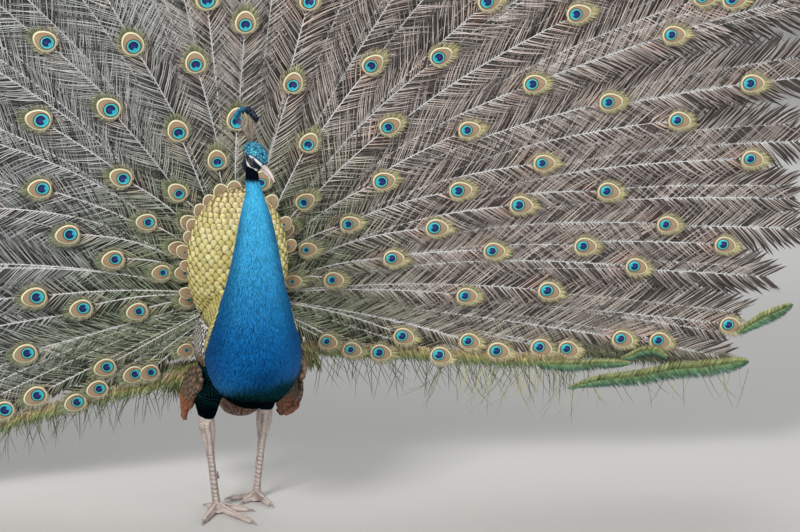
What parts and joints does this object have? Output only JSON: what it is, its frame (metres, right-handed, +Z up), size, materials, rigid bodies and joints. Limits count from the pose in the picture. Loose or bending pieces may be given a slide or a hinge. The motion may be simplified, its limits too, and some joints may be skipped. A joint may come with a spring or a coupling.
{
  "type": "peacock model",
  "caption": "Life-size model of a standing male peafowl with its head turned and its train raised in a full fan of eyed feathers.",
  "frame": {"origin": "on the ground, under the middle of the model's whole outline", "axes": "+X to the bird's left across the fan, -Y the way the breast faces, +Z up"},
  "size_m": [2.312, 0.462, 1.6432],
  "materials": {
    "crown_feathers": "short glossy blue-green feathers over flesh",
    "crest_feathers": "bare stems with blue-green tips",
    "blue_feathers": "short iridescent blue feathers over flesh",
    "body_feathers": "dark green and black feathers over flesh",
    "barred_feathers": "pale feathers barred with black",
    "chestnut_feathers": "stiff matt chestnut feathers",
    "vent_down": "soft brown and grey down",
    "gold_feathers": "golden scale feathers with dark edges",
    "train_feathers": "loose bronze and green barbs with eyespots",
    "tail_feathers": "stiff grey-brown feathers",
    "leg_skin": "scaly grey skin",
    "claw_horn": "smooth dark horn",
    "bill_horn": "smooth pale horn",
    "eye": "wet and glossy"
  },
  "bodies": {
    "root": {"head": "crown_feathers", "bill_upper": "bill_horn", "bill_lower": "bill_horn", "eye_left": "eye", "eye_right": "eye", "crest": "crest_feathers", "neck_upper": "blue_feathers", "neck_lower": "blue_feathers", "thigh_right": "body_feathers", "shank_right": "leg_skin", "spur_right": "claw_horn", "foot_right": "leg_skin", "claw_right_inner": "claw_horn", "claw_right_middle": "claw_horn", "claw_right_outer": "claw_horn", "claw_right_hind": "claw_horn", "thigh_left": "body_feathers", "shank_left": "leg_skin", "spur_left": "claw_horn", "foot_left": "leg_skin", "claw_left_inner": "claw_horn", "claw_left_middle": "claw_horn", "claw_left_outer": "claw_horn", "claw_left_hind": "claw_horn", "wing_left": "barred_feathers", "flight_feathers_left": "chestnut_feathers", "wing_right": "barred_feathers", "flight_feathers_right": "chestnut_feathers", "vent": "vent_down", "mantle": "gold_feathers", "train_01": "train_feathers", "train_02": "train_feathers", "train_03": "train_feathers", "train_04": "train_feathers", "train_05": "train_feathers", "train_06": "train_feathers", "train_07": "train_feathers", "train_08": "train_feathers", "train_09": "train_feathers", "train_10": "train_feathers", "train_11": "train_feathers", "train_12": "train_feathers", "train_13": "train_feathers", "train_14": "train_feathers", "train_15": "train_feathers", "train_16": "train_feathers", "tail_1": "tail_feathers", "tail_2": "tail_feathers", "tail_3": "tail_feathers", "tail_4": "tail_feathers", "breast": "blue_feathers", "trunk": "body_feathers"}
  },
  "joints": []
}
